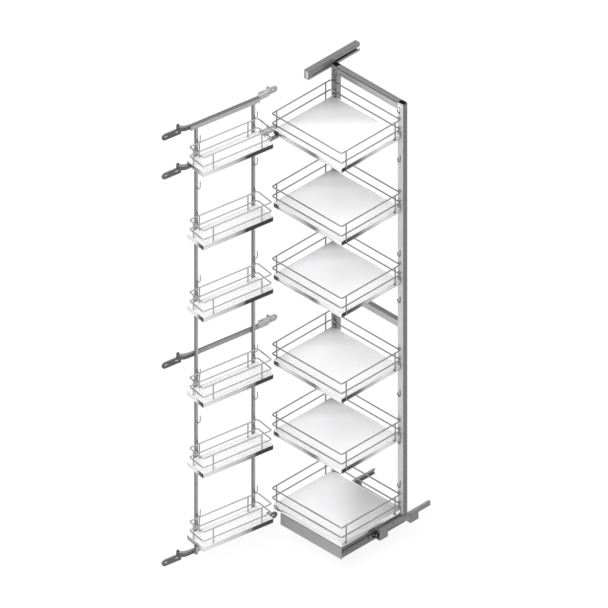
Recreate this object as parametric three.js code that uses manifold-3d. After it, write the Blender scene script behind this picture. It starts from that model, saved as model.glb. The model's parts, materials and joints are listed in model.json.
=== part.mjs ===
// A pull-out larder unit, drawn with its door swung open and its shelves drawn out.
// A hanging frame with six deep trays runs on two floor runners and one top guide rail.
// A second frame with six narrow trays is fixed to the inside of the cabinet door.
// A link arm joins the two frames, so that opening the door draws the tray frame out.
// Sizes are in millimetres. +X runs across the cabinet, +Y into it and +Z up.
// The origin lies on the cabinet floor, under the middle of the deep trays.
import * as THREE from "three";
import Module from "manifold-3d";
import { mergeVertices } from "three/addons/utils/BufferGeometryUtils.js";

const wasm = await Module();
wasm.setup();

// Overall sizes
const FRAME_HEIGHT = 1722; // top of the tray frame above the cabinet floor
const TRAY_WIDTH = 322;
const TRAY_DEPTH = 280;
const TRAY_FORWARD = 2; // middle of a deep tray in front of the origin
const SHELF_LENGTH = 290; // door shelf, along the door
const SHELF_DEPTH = 94; // door shelf, away from the door

// Gap that parts resting on one another keep, and gap round parts that slide
const SEAT = 0.3;
const SLIDE = 0.7;

// How far a cutter runs past the face it opens, or a piece runs into the one it is joined to
const PAST = 1;

// Levels of the undersides of the trays and shelves, which hang where they are wanted
const TRAY_LEVELS = [51, 351, 639, 988, 1282, 1580];
const LOWER_TRAYS = 3; // trays below the middle bars

// Trays and their wire rails
const TRAY_THICK = 18;
const SHELF_THICK = 18;
const RIM = 3; // width of the raised edge of a tray
const RIM_HEIGHT = 1;
const WIRE = 5; // wire diameter
const WIRE_SIDES = 6;
const WIRE_BEND = 10; // corner radius of the wire, at its middle
const BEND_STEPS = 3;
const TRAY_RAILS = [26, 65]; // wire heights above the top of a deep tray
const SHELF_RAILS = [23, 60]; // wire heights above the top of a door shelf
const WIRE_OUT = 3; // wire middle out from the front and the sides of a deep tray
const POST_LOW = 8; // lower end of such a tray's posts, below its top
const SHELF_WIRE_INSET = 3; // wire middle in from the front and the free end of a door shelf
const TRAY_WIRE_BACK = 6; // wire middle in from the back of a deep tray
const SHELF_WIRE_BACK = 12; // and of a door shelf
const SHELF_WIRE_NEAR = 6; // wire middle in from the hinge end of a door shelf
const POSTS_FROM_FRONT = [19, 250]; // posts along the sides of a deep tray
const SHELF_POSTS_FROM_NEAR = [46, 246]; // posts along a door shelf
const SHELF_END_POST = 35; // post at the free end of a door shelf, from its back
const HOOK_WIDTH = 16; // hooks that hang a deep tray on the uprights
const HOOK_REACH = 5; // hook past the upright's inner side
const SHELF_HOOK_WIDTH = 9;
const STRAP_THICK = 2;

// Tray frame
const UPRIGHT_WIDTH = 25;
const UPRIGHT_DEPTH = 20;
const UPRIGHT_INSET = 4.5; // upright middle in from the side of the tray
const TUBE_WALL = 1.5;
const BAR_HEIGHT = 25;
const TOP_BAR_HEIGHT = 30; // the top bar is level with the tops of the caps
const CAP_HEIGHT = 5;
const CAP_PLUG = 12;
const TUBE_OPEN = 48; // hollow stretch of an upright, below its cap
const UPRIGHT_GAP = 2; // from the back of the trays to the uprights
const MIDDLE_BAR_RISE = 176.5; // middle bar above the third tray

// Carriage and runners
const CARRIAGE_TOP = 45.7;
const CARRIAGE_FRONT_TOP = 48;
const SIDE_PLATE_LOW = 8;
const CARRIAGE_FRONT_LEFT = -127;
const CARRIAGE_STEP = 4; // the band under the lowest tray lies this far back
const SIDE_LIP_REAR = 60; // end of the lip that fills the gap between the right side and that tray
const SHEET = 2;
const CHASSIS_LEFT = -88; // outer face of the left side plate
const RUNNER_LOW = 25;
const RUNNER_HEIGHT = 18;
const RUNNER_GAP = 1; // from the side plate to the channel's open side
const RUNNER_DEPTH = 8;
const RUNNER_WALL = 2;
const MIDDLE_WALL = 1.5;
const RUNNER_REAR = 268;
const RUNNER_FRONTS = { right: 20, left: 84 };
const MIDDLE_FRONT = -20;
const MIDDLE_LENGTH = 180;
const SLIDE_SETBACK = 3; // slide behind the carriage's front
const SLIDE_LENGTH = 280;
const BRACKET_LENGTH = 38;
const BRACKET_THICK = 2;
const FOOT_REACH = 20; // of a bracket's foot, inwards under the carriage
const FOOT_THICK = 2; // and of the ties between the feet
const FRONT_TIE = [-15, 66]; // along +Y
const REAR_TIE = [172, 210];
const TONGUE_WIDTH = 27; // the front tie's tongue beside the left front foot
const LEFT_TONGUE = 80;

// Top guide
const GUIDE_WIDTH = 20;
const GUIDE_HEIGHT = 34;
const GUIDE_FRONT = 35;
const GUIDE_REAR = 278;
const GUIDE_WALL = 2;
const GUIDE_ABOVE = 16; // top of the rail above the top of the tray frame
const GUIDE_GAP = 4; // between the rail and the upright
const GUIDE_SLOT = 9;
const GUIDE_SLOT_LOW = 9; // slot above the underside of the rail
const GUIDE_END = 18; // closed stretch at the front of the slot
const ROLLER_RADIUS = 8;
const ROLLER_WIDTH = 5;
const ROLLER_BORE = 2.9;
const ROLLER_PIN = 2.5;
const ROLLER_SPACING = 100;
const ROLLER_SIDES = 20;
const SLIDER_WIDTH = 8;
const SLIDER_HEIGHT = 12;
const SLIDER_END = 9.5; // slider past the middle of each roller

// Door frame, drawn as it stands when the door is shut and turned about the door hinge
const HINGE_X = -216;
const HINGE_Y = -65;
const OPEN_ANGLE = 99;
const DOOR_SHELF_START = 115; // from the hinge axis to the near end of the shelves
const DOOR_SHELF_BACK = 40; // from the inner face of the door to the back of the shelves
const DOOR_UPRIGHT_WIDTH = 9;
const DOOR_UPRIGHT_DEPTH = 12;
const DOOR_UPRIGHT_NEAR = 11; // upright middle in from the near end of the shelves
const DOOR_UPRIGHT_FAR = 43.5; // upright middle in from the far end of the shelves
const CROSSBAR_HEIGHT = 16;
const TOP_CROSSBAR_DEPTH = 16;
const TOP_CROSSBAR_BACK = 6; // its back behind the backs of the door uprights
const CROSSBAR_DEPTH = 8;
const CROSSBAR_NEAR = 100; // ends of the crossbars, from the hinge axis
const CROSSBAR_FAR = 367;
const TOP_CROSSBAR_FAR = 385;
const TOP_CROSSBAR_DROP = 7; // middle of the top crossbar below the top of the tray frame
const LINK_CROSSBAR_DROP = 24; // middle of the second crossbar below the top tray
const MIDDLE_CROSSBAR_RISE = 144; // middle of the third crossbar above the third tray
const BOTTOM_CROSSBAR = -23;
const PLATE_LENGTH = 78;
const PLATE_HEIGHT = 25;
const PLATE_THICK = 5;
const SLOT_LENGTH = 16;
const SLOT_WIDTH = 6;
const SLOT_PLACES = [-22, 22];
const ARM_THICK = 10;
const ARM_BEND = 4; // reach of the bend in an arm's front face, from the tip
const ARM_RAMP = 30; // and of the curve that leads to it
const TAB_RISE = 14; // top of the tab at an arm's tip above the crossbar's middle
const TAB_WIDTH = 10;
// Fixings at the two ends of a crossbar. Middle and tip lie along the door from the hinge axis;
// drop, low and high are measured from the middle of the crossbar.
const DOOR_FIXINGS = {
  hinge_side: { side: -1, middle: 44, tip: 40, drop: 9.5, low: -9, high: 9 },
  free_side: { side: 1, middle: 441, tip: 421, drop: 18, low: -8, high: 7 },
};

// Link arm
const LINK_DOOR_X = 160; // pivot on the door frame, from the hinge axis along the door
const LINK_DOOR_Y = 65; // and from the inner face of the door
const LINK_SETBACK = 18; // frame pivot in front of the upright
const LINK_WIDTH = 16;
const LINK_THICK = 5;
const LINK_BORE = 4.4;
const LINK_PIN = 4;
const LINK_LUG_THICK = 4;
const FINGER_ROOT = 2; // of the finger that holds the pin, inside its crossbar
const RIVET_RADIUS = 7;
const RIVET_HEAD = 2.5;
const LINK_SIDES = 20;

const levels = TRAY_LEVELS;
const traySide = TRAY_WIDTH / 2;
const trayBack = TRAY_DEPTH / 2 - TRAY_FORWARD;
const trayFront = trayBack - TRAY_DEPTH;
const uprightX = traySide - UPRIGHT_INSET;
const uprightFront = trayBack + UPRIGHT_GAP;
const uprightBack = uprightFront + UPRIGHT_DEPTH;
const uprightY = (uprightFront + uprightBack) / 2;
const uprightSide = uprightX + UPRIGHT_WIDTH / 2; // outer face of an upright
const linkPivot = [-uprightX, uprightFront - LINK_SETBACK];
const linkLevel = levels.at(-1) - LINK_CROSSBAR_DROP; // underside of the link arm's lugs
const chassisRight = traySide; // outer face of the right side plate
const runnerOuter = RUNNER_GAP + RUNNER_DEPTH; // from the side plate to the channel's back
const bracketOuter = runnerOuter + BRACKET_THICK;
const footInner = FOOT_REACH - bracketOuter; // from the side plate inwards to the foot's end

// Materials
const metal = (color, roughness) =>
  new THREE.MeshStandardMaterial({ color, roughness, metalness: 0.9 });
const paint = (color, roughness) =>
  new THREE.MeshStandardMaterial({ color, roughness, metalness: 0.1 });
const frameGrey = paint(0x8e8f91, 0.45);
const darkGrey = paint(0x6d6e70, 0.5);
const chrome = metal(0xd8dadc, 0.12);
const zinc = metal(0x85878a, 0.4);
const blackPlastic = paint(0x1b1b1c, 0.55);
const trayWhite = paint(0xe9eaeb, 0.25);

// Shapes
function box(x0, x1, y0, y1, z0, z1) {
  return new THREE.BoxGeometry(x1 - x0, y1 - y0, z1 - z0).translate(
    (x0 + x1) / 2,
    (y0 + y1) / 2,
    (z0 + z1) / 2,
  );
}

function outline(points) {
  return new THREE.Shape(points.map(([a, b]) => new THREE.Vector2(a, b)));
}

function extrude(shape, depth, curveSegments = 6) {
  return new THREE.ExtrudeGeometry(shape, { depth, bevelEnabled: false, curveSegments });
}

// A shape drawn in X and Z, run from y0 to y1
function alongY(shape, y0, y1) {
  return extrude(shape, y1 - y0).rotateX(Math.PI / 2).translate(0, y1, 0);
}

function cylinderZ(radius, z0, z1, x, y, sides = LINK_SIDES) {
  return new THREE.CylinderGeometry(radius, radius, z1 - z0, sides)
    .rotateX(Math.PI / 2)
    .translate(x, y, (z0 + z1) / 2);
}

function cylinderX(radius, x0, x1, y, z, sides = LINK_SIDES) {
  return new THREE.CylinderGeometry(radius, radius, x1 - x0, sides)
    .rotateZ(Math.PI / 2)
    .translate((x0 + x1) / 2, y, z);
}

// A closed ring of wire round a rectangle with bent corners
function wireRing(x0, x1, y0, y1, z) {
  const corners = [
    [x1 - WIRE_BEND, y1 - WIRE_BEND, 0],
    [x0 + WIRE_BEND, y1 - WIRE_BEND, 90],
    [x0 + WIRE_BEND, y0 + WIRE_BEND, 180],
    [x1 - WIRE_BEND, y0 + WIRE_BEND, 270],
  ];
  const stations = corners.flatMap(([cx, cy, start]) =>
    Array.from({ length: BEND_STEPS + 1 }, (_, k) => {
      const angle = THREE.MathUtils.degToRad(start + (90 * k) / BEND_STEPS);
      return [cx, cy, Math.cos(angle), Math.sin(angle)];
    }),
  );
  const positions = stations.flatMap(([cx, cy, nx, ny]) =>
    Array.from({ length: WIRE_SIDES }, (_, s) => {
      const turn = (2 * Math.PI * s) / WIRE_SIDES;
      const out = WIRE_BEND + (WIRE / 2) * Math.cos(turn);
      return [cx + out * nx, cy + out * ny, z + (WIRE / 2) * Math.sin(turn)];
    }).flat(),
  );
  const index = stations.flatMap((_, i) =>
    Array.from({ length: WIRE_SIDES }, (_unused, s) => {
      const next = ((i + 1) % stations.length) * WIRE_SIDES;
      const here = i * WIRE_SIDES;
      const t = (s + 1) % WIRE_SIDES;
      return [here + s, next + s, next + t, here + s, next + t, here + t];
    }).flat(),
  );
  const ring = new THREE.BufferGeometry();
  ring.setAttribute("position", new THREE.Float32BufferAttribute(positions, 3));
  ring.setIndex(index);
  return ring;
}

// Joining and cutting
function solid(geometry) {
  const bare = geometry.clone();
  bare.deleteAttribute("normal");
  bare.deleteAttribute("uv");
  const merged = mergeVertices(bare, 1e-4);
  return new wasm.Manifold(
    new wasm.Mesh({
      numProp: 3,
      vertProperties: new Float32Array(merged.attributes.position.array),
      triVerts: new Uint32Array(merged.index.array),
    }),
  );
}

function geometryOf(manifold) {
  const mesh = manifold.getMesh();
  const geometry = new THREE.BufferGeometry();
  geometry.setAttribute("position", new THREE.BufferAttribute(mesh.vertProperties, 3));
  geometry.setIndex(new THREE.BufferAttribute(mesh.triVerts, 1));
  geometry.computeVertexNormals();
  return geometry;
}

const join = (...pieces) => geometryOf(pieces.map(solid).reduce((a, b) => a.add(b)));
const cut = (body, ...tools) =>
  geometryOf(tools.map(solid).reduce((a, b) => a.subtract(b), solid(body)));

const larder = new THREE.Group();
const doorFrame = new THREE.Group();
doorFrame.position.set(HINGE_X, HINGE_Y, 0);
doorFrame.rotation.z = THREE.MathUtils.degToRad(-OPEN_ANGLE);
larder.add(doorFrame);

function piece(name, geometry, material, group = larder) {
  const mesh = new THREE.Mesh(geometry, material);
  mesh.name = name;
  group.add(mesh);
}

// Trays and wire rails, for the deep trays and the door shelves alike
function trayBoard(x0, x1, y0, y1, z, thick) {
  const top = z + thick;
  return cut(
    box(x0, x1, y0, y1, z, top),
    box(x0 + RIM, x1 - RIM, y0 + RIM, y1 - RIM, top - RIM_HEIGHT, top + PAST),
  );
}

function wireRail(x0, x1, y0, y1, top, heights, postLow, posts, extras) {
  const rings = heights.map((h) => wireRing(x0, x1, y0, y1, top + h));
  const highest = top + heights.at(-1);
  const uprights = posts.map(([x, y]) =>
    cylinderZ(WIRE / 2, postLow, highest, x, y, WIRE_SIDES),
  );
  return join(...rings, ...uprights, ...extras);
}

function deepTray(i) {
  const z = levels[i];
  const top = z + TRAY_THICK;
  const x = traySide + WIRE_OUT;
  const front = trayFront - WIRE_OUT;
  const back = trayBack - TRAY_WIRE_BACK;
  const posts = [-x, x].flatMap((px) => POSTS_FROM_FRONT.map((d) => [px, trayFront + d]));
  const hooks = [-1, 1].map((side) => {
    const far = side * (uprightX - HOOK_REACH);
    const near = far - side * HOOK_WIDTH;
    return box(
      Math.min(near, far),
      Math.max(near, far),
      back - WIRE / 4,
      uprightFront - SEAT,
      top + SEAT,
      top + TRAY_RAILS.at(-1) + WIRE,
    );
  });
  const board = trayBoard(-traySide, traySide, trayFront, trayBack, z, TRAY_THICK);
  piece(`deep_tray_${i + 1}`, board, trayWhite);
  const rail = wireRail(-x, x, front, back, top, TRAY_RAILS, top - POST_LOW, posts, hooks);
  piece(`deep_tray_rail_${i + 1}`, rail, chrome);
}

const shelfStart = DOOR_SHELF_START;
const shelfEnd = DOOR_SHELF_START + SHELF_LENGTH;
const shelfBack = DOOR_SHELF_BACK;
const shelfFront = DOOR_SHELF_BACK + SHELF_DEPTH;
const doorUprights = [
  ["hinge_side", shelfStart + DOOR_UPRIGHT_NEAR],
  ["free_side", shelfEnd - DOOR_UPRIGHT_FAR],
];

function doorShelf(i) {
  const z = levels[i];
  const top = z + SHELF_THICK;
  const x0 = shelfStart + SHELF_WIRE_NEAR;
  const x1 = shelfEnd - SHELF_WIRE_INSET;
  const front = shelfFront - SHELF_WIRE_INSET;
  const back = shelfBack + SHELF_WIRE_BACK;
  const along = SHELF_POSTS_FROM_NEAR.map((d) => shelfStart + d);
  const posts = [...along.map((x) => [x, front]), ...along.map((x) => [x, back])];
  posts.push([x1, shelfBack + SHELF_END_POST]);
  const hooks = doorUprights.flatMap(([, x]) => {
    const left = x - SHELF_HOOK_WIDTH / 2;
    const right = Math.max(x + SHELF_HOOK_WIDTH / 2, x0 + WIRE_BEND + SHELF_HOOK_WIDTH);
    const high = top + SHELF_RAILS.at(-1);
    const tabs = SHELF_RAILS.map((h) =>
      box(
        right - SHELF_HOOK_WIDTH,
        right,
        shelfBack,
        back,
        top + h - STRAP_THICK / 2,
        top + h + STRAP_THICK / 2,
      ),
    );
    const strap = box(left, right, shelfBack, shelfBack + STRAP_THICK, top + SEAT, high + WIRE);
    return [...tabs, strap];
  });
  const board = trayBoard(shelfStart, shelfEnd, shelfBack, shelfFront, z, SHELF_THICK);
  piece(`door_shelf_${i + 1}`, board, trayWhite, doorFrame);
  const rail = wireRail(x0, x1, back, front, top, SHELF_RAILS, top + SEAT, posts, hooks);
  piece(`door_shelf_rail_${i + 1}`, rail, chrome, doorFrame);
}

// Tray frame
function trayFrame() {
  const low = CARRIAGE_TOP + SEAT;
  const high = FRAME_HEIGHT - CAP_HEIGHT;
  for (const [name, side] of [["left", -1], ["right", 1]]) {
    const x = side * uprightX;
    const half = UPRIGHT_WIDTH / 2;
    const tube = cut(
      box(x - half, x + half, uprightFront, uprightBack, low, high),
      box(
        x - half + TUBE_WALL,
        x + half - TUBE_WALL,
        uprightFront + TUBE_WALL,
        uprightBack - TUBE_WALL,
        high - TUBE_OPEN,
        high + PAST,
      ),
    );
    const pieces = [tube];
    if (side < 0) pieces.push(...linkLug(x, linkLevel));
    piece(`frame_upright_${name}`, join(...pieces), frameGrey);
    const plug = box(
      x - half + TUBE_WALL + SEAT,
      x + half - TUBE_WALL - SEAT,
      uprightFront + TUBE_WALL + SEAT,
      uprightBack - TUBE_WALL - SEAT,
      high - CAP_PLUG,
      high + SEAT + PAST,
    );
    const head = box(x - half, x + half, uprightFront, uprightBack, high + SEAT, FRAME_HEIGHT);
    piece(`upright_cap_${name}`, join(head, plug), blackPlastic);
  }
  const inner = uprightX - UPRIGHT_WIDTH / 2 - SEAT;
  const middle = levels[LOWER_TRAYS - 1] + MIDDLE_BAR_RISE;
  const bars = [
    ["frame_top_bar", FRAME_HEIGHT - TOP_BAR_HEIGHT, FRAME_HEIGHT],
    ["frame_middle_bar", middle - BAR_HEIGHT / 2, middle + BAR_HEIGHT / 2],
  ];
  for (const [name, z0, z1] of bars) {
    piece(name, box(-inner, inner, uprightFront, uprightBack, z0, z1), frameGrey);
  }
}

// The lug under the top tray that carries the link arm's rear pivot
function linkLug(x, z) {
  const half = LINK_WIDTH / 2;
  const plate = box(
    x - half,
    x + half,
    linkPivot[1],
    uprightFront + TUBE_WALL / 2,
    z,
    z + LINK_LUG_THICK,
  );
  const nose = cylinderZ(half, z, z + LINK_LUG_THICK, ...linkPivot);
  const rivetTop = z + LINK_LUG_THICK + RIVET_HEAD;
  const rivet = cylinderZ(RIVET_RADIUS, z + LINK_LUG_THICK / 2, rivetTop, ...linkPivot);
  return [plate, nose, rivet];
}

// Link arm: a flat bar between the two frames, which turns on a pin on the door frame
function linkArm() {
  const z1 = linkLevel - SEAT;
  const z0 = z1 - LINK_THICK;
  const far = new THREE.Vector2(LINK_DOOR_X, LINK_DOOR_Y)
    .rotateAround(new THREE.Vector2(), doorFrame.rotation.z)
    .add(new THREE.Vector2(HINGE_X, HINGE_Y));
  const near = new THREE.Vector2(...linkPivot);
  const middle = near.clone().lerp(far, 0.5);
  const half = LINK_WIDTH / 2;
  const along = far.clone().sub(near);
  const bar = new THREE.BoxGeometry(along.length(), LINK_WIDTH, LINK_THICK)
    .rotateZ(along.angle())
    .translate(middle.x, middle.y, (z0 + z1) / 2);
  const eyes = [near, far].map((p) => cylinderZ(half, z0, z1, p.x, p.y));
  const rivet = cylinderZ(RIVET_RADIUS, z0 - RIVET_HEAD, z0 + PAST, near.x, near.y);
  const bore = cylinderZ(LINK_BORE, z0 - PAST, z1 + PAST, far.x, far.y);
  piece("link_arm", cut(join(bar, ...eyes, rivet), bore), zinc);
  const seat = linkLevel + LINK_LUG_THICK + SEAT;
  const place = [LINK_DOOR_X, LINK_DOOR_Y];
  const head = cylinderZ(RIVET_RADIUS, seat, seat + RIVET_HEAD, ...place);
  const shank = cylinderZ(LINK_PIN, z0 - SEAT - PAST, seat + PAST, ...place);
  const foot = cylinderZ(RIVET_RADIUS, z0 - SEAT - RIVET_HEAD, z0 - SEAT, ...place);
  piece("link_pin", join(head, shank, foot), zinc, doorFrame);
}

// Carriage: the folded sheet that carries the frame and covers the runners
function carriage() {
  const left = CARRIAGE_FRONT_LEFT;
  const right = chassisRight;
  const stepY = trayFront + CARRIAGE_STEP;
  const stepZ = CARRIAGE_FRONT_TOP - SHEET;
  const underside = levels[0] - SEAT;
  const frontLow = FOOT_THICK + SLIDE;
  const low = CARRIAGE_TOP - SHEET;
  const pieces = [
    box(left, right, trayFront, uprightBack, low, CARRIAGE_TOP),
    box(left, right, trayFront, trayFront + SHEET, frontLow, CARRIAGE_FRONT_TOP),
    box(left, right, trayFront, stepY + SHEET, stepZ, CARRIAGE_FRONT_TOP),
    box(left, right, stepY, stepY + SHEET, stepZ, underside),
    box(right - SHEET, right, trayFront, uprightBack, SIDE_PLATE_LOW, CARRIAGE_TOP),
    box(right - SHEET, right, stepY, SIDE_LIP_REAR, low, underside),
    box(CHASSIS_LEFT, CHASSIS_LEFT + SHEET, trayFront, uprightBack, SIDE_PLATE_LOW, CARRIAGE_TOP),
  ];
  piece("carriage", join(...pieces), darkGrey);
}

// Runners: a fixed channel, a middle channel that moves half as far, and the carriage's slide
function channel(face, side, start, end, low, high, wall) {
  const x = (d) => face + side * d;
  const points = [
    [x(start), low],
    [x(end), low],
    [x(end), high],
    [x(start), high],
    [x(start), high - wall],
    [x(end - wall), high - wall],
    [x(end - wall), low + wall],
    [x(start), low + wall],
  ];
  return outline(side > 0 ? points : points.reverse());
}

function runner(name, face, side) {
  const low = RUNNER_LOW;
  const high = RUNNER_LOW + RUNNER_HEIGHT;
  const between = (a, b) => [face + side * a, face + side * b].sort((m, n) => m - n);
  const section = channel(face, side, RUNNER_GAP, runnerOuter, low, high, RUNNER_WALL);
  const fixed = alongY(section, RUNNER_FRONTS[name], RUNNER_REAR);
  const footEnds = [FRONT_TIE[1] + (name === "left" ? LEFT_TONGUE : 0), REAR_TIE[1]];
  const brackets = footEnds.flatMap((end) => {
    const start = end - BRACKET_LENGTH;
    return [
      box(...between(runnerOuter - RUNNER_WALL / 2, bracketOuter), start, end, 0, high),
      box(...between(-footInner, bracketOuter), start, end, 0, FOOT_THICK),
    ];
  });
  piece(`runner_channel_${name}`, join(fixed, ...brackets), zinc);
  const inner = RUNNER_WALL + SEAT;
  const nest = channel(
    face,
    side,
    RUNNER_GAP,
    runnerOuter - inner,
    low + inner,
    high - inner,
    MIDDLE_WALL,
  );
  const middle = alongY(nest, MIDDLE_FRONT, MIDDLE_FRONT + MIDDLE_LENGTH);
  piece(`runner_middle_${name}`, middle, zinc);
  const deep = inner + MIDDLE_WALL + SEAT;
  const slideFront = trayFront + SLIDE_SETBACK;
  const slide = box(
    ...between(SEAT, runnerOuter - deep),
    slideFront,
    slideFront + SLIDE_LENGTH,
    low + deep,
    high - deep,
  );
  piece(`runner_slide_${name}`, slide, zinc);
}

function floorTies() {
  const left = CHASSIS_LEFT + footInner + SEAT;
  const right = chassisRight - footInner - SEAT;
  const tongueEnd = FRONT_TIE[1] + LEFT_TONGUE;
  const front = box(left, right, ...FRONT_TIE, 0, FOOT_THICK);
  const tongue = box(left, left + TONGUE_WIDTH, FRONT_TIE[0], tongueEnd, 0, FOOT_THICK);
  piece("floor_tie_front", join(front, tongue), zinc);
  piece("floor_tie_rear", box(left, right, ...REAR_TIE, 0, FOOT_THICK), zinc);
}

// Top guide: a slotted rail under the cabinet top, and the slider on the frame
function topGuide() {
  const outer = -uprightSide - GUIDE_GAP;
  const inner = outer - GUIDE_WIDTH;
  const high = FRAME_HEIGHT + GUIDE_ABOVE;
  const low = high - GUIDE_HEIGHT;
  const slotLow = low + GUIDE_SLOT_LOW;
  const rail = cut(
    box(inner, outer, GUIDE_FRONT, GUIDE_REAR, low, high),
    box(
      inner + GUIDE_WALL,
      outer - GUIDE_WALL,
      GUIDE_FRONT + GUIDE_WALL,
      GUIDE_REAR + PAST,
      low + GUIDE_WALL,
      high - GUIDE_WALL,
    ),
    box(
      outer - GUIDE_WALL - PAST,
      outer + PAST,
      GUIDE_FRONT + GUIDE_END,
      GUIDE_REAR + PAST,
      slotLow,
      slotLow + GUIDE_SLOT,
    ),
  );
  piece("top_guide_rail", rail, frameGrey);
  const axle = low + GUIDE_WALL + SEAT + ROLLER_RADIUS;
  const sliderRight = outer - GUIDE_WALL - SLIDE;
  const sliderLeft = sliderRight - SLIDER_WIDTH;
  const places = [uprightY - ROLLER_SPACING, uprightY];
  const spine = box(
    sliderLeft,
    sliderRight,
    places[0] - SLIDER_END,
    places[1] + SLIDER_END,
    axle - SLIDER_HEIGHT / 2,
    axle + SLIDER_HEIGHT / 2,
  );
  const neck = box(
    sliderRight - PAST,
    -uprightSide - SEAT,
    uprightFront,
    places[1] + SLIDER_END,
    slotLow + SLIDE,
    slotLow + GUIDE_SLOT - SLIDE,
  );
  const wheelLeft = sliderLeft - SEAT - ROLLER_WIDTH;
  const pins = places.map((y) =>
    cylinderX(ROLLER_PIN, wheelLeft, sliderLeft + PAST, y, axle, ROLLER_SIDES),
  );
  piece("top_guide_slider", join(spine, neck, ...pins), zinc);
  for (const [i, y] of places.entries()) {
    const wheel = cut(
      cylinderX(ROLLER_RADIUS, wheelLeft, sliderLeft - SEAT, y, axle, ROLLER_SIDES),
      cylinderX(ROLLER_BORE, wheelLeft - PAST, sliderLeft + PAST, y, axle, ROLLER_SIDES),
    );
    piece(`top_guide_roller_${i === 0 ? "front" : "rear"}`, wheel, blackPlastic);
  }
}

// Door frame: uprights, crossbars and the cranked plates that screw to the door
const crossbarLevels = [
  BOTTOM_CROSSBAR,
  levels[LOWER_TRAYS - 1] + MIDDLE_CROSSBAR_RISE,
  levels.at(-1) - LINK_CROSSBAR_DROP,
  FRAME_HEIGHT - TOP_CROSSBAR_DROP,
];
const doorUprightBack = shelfBack - SEAT - DOOR_UPRIGHT_DEPTH;
const crossbarFront = doorUprightBack - SEAT;
const linkCrossbar = 2;

function doorUprightsAndBars() {
  const top = crossbarLevels.at(-1) - CROSSBAR_HEIGHT / 2 - SEAT;
  for (const [name, x] of doorUprights) {
    const half = DOOR_UPRIGHT_WIDTH / 2;
    const tube = box(
      x - half,
      x + half,
      doorUprightBack,
      doorUprightBack + DOOR_UPRIGHT_DEPTH,
      BOTTOM_CROSSBAR - CROSSBAR_HEIGHT / 2,
      top,
    );
    piece(`door_upright_${name}`, tube, frameGrey, doorFrame);
  }
  for (const [i, z] of crossbarLevels.entries()) {
    const isTop = i === crossbarLevels.length - 1;
    const y0 = isTop ? doorUprightBack - TOP_CROSSBAR_BACK : crossbarFront - CROSSBAR_DEPTH;
    const y1 = isTop ? y0 + TOP_CROSSBAR_DEPTH : crossbarFront;
    const low = z - CROSSBAR_HEIGHT / 2;
    const far = isTop ? TOP_CROSSBAR_FAR : CROSSBAR_FAR;
    const bar = box(CROSSBAR_NEAR, far, y0, y1, low, low + CROSSBAR_HEIGHT);
    const pieces = i === linkCrossbar ? [bar, linkFinger()] : [bar];
    piece(`door_crossbar_${i + 1}`, join(...pieces), frameGrey, doorFrame);
    doorPlate(i + 1, "hinge_side", CROSSBAR_NEAR, z);
    doorPlate(i + 1, "free_side", far, z);
  }
}

// The finger on the crossbar below the top shelf that holds the link arm's pin
function linkFinger() {
  const low = linkLevel;
  const half = LINK_WIDTH / 2;
  const finger = box(
    LINK_DOOR_X - half,
    LINK_DOOR_X + half,
    crossbarFront - FINGER_ROOT,
    LINK_DOOR_Y,
    low,
    low + LINK_LUG_THICK,
  );
  const place = [LINK_DOOR_X, LINK_DOOR_Y];
  const nose = cylinderZ(half, low, low + LINK_LUG_THICK, ...place);
  const bore = cylinderZ(LINK_BORE, low - PAST, low + LINK_LUG_THICK + PAST, ...place);
  return cut(join(finger, nose), bore);
}

function slotHole(x) {
  const half = SLOT_LENGTH / 2 - SLOT_WIDTH / 2;
  const hole = new THREE.Path();
  hole.absarc(x + half, 0, SLOT_WIDTH / 2, -Math.PI / 2, Math.PI / 2);
  hole.absarc(x - half, 0, SLOT_WIDTH / 2, Math.PI / 2, (3 * Math.PI) / 2);
  hole.closePath();
  return hole;
}

function doorPlate(bar, place, end, z) {
  const { side, middle, tip, drop, low, high } = DOOR_FIXINGS[place];
  const round = PLATE_HEIGHT / 2;
  const straight = PLATE_LENGTH / 2 - round;
  const face = new THREE.Shape();
  face.absarc(straight, 0, round, -Math.PI / 2, Math.PI / 2);
  face.lineTo(-PLATE_LENGTH / 2, round);
  face.lineTo(-PLATE_LENGTH / 2, -round);
  face.closePath();
  face.holes.push(...SLOT_PLACES.map(slotHole));
  const turned = side < 0 ? Math.PI : 0;
  const plate = alongY(face, 0, PLATE_THICK)
    .translate(0, -PLATE_THICK / 2, 0)
    .rotateZ(turned)
    .translate(middle, PLATE_THICK / 2, z - drop);
  const near = end + side * SEAT;
  const back = crossbarFront - ARM_THICK;
  const foot = tip - side * ARM_THICK;
  const inside = PLATE_THICK / 2;
  const arm = new THREE.Shape();
  arm.moveTo(near, back);
  arm.quadraticCurveTo(foot - side * ARM_THICK, back, foot, inside);
  arm.lineTo(tip, inside);
  arm.quadraticCurveTo(tip - side * ARM_BEND, crossbarFront, tip - side * ARM_RAMP, crossbarFront);
  arm.lineTo(near, crossbarFront);
  arm.closePath();
  const armBody = extrude(arm, high - low).translate(0, 0, z + low);
  const tabX = [tip - side * TAB_WIDTH, tip].sort((a, b) => a - b);
  const tab = box(...tabX, inside, PLATE_THICK + PAST, z + low, z + TAB_RISE);
  piece(`door_plate_${bar}_${place}`, join(plate, armBody, tab), zinc, doorFrame);
}

for (const i of levels.keys()) {
  deepTray(i);
  doorShelf(i);
}
trayFrame();
linkArm();
carriage();
runner("right", chassisRight, 1);
runner("left", CHASSIS_LEFT, -1);
floorTies();
topGuide();
doorUprightsAndBars();

export default larder;
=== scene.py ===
"""Looks of a pull-out larder unit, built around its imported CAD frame. All lengths are in metres."""

import json
import math

import bmesh
import bpy
from mathutils import Matrix, Vector


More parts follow.
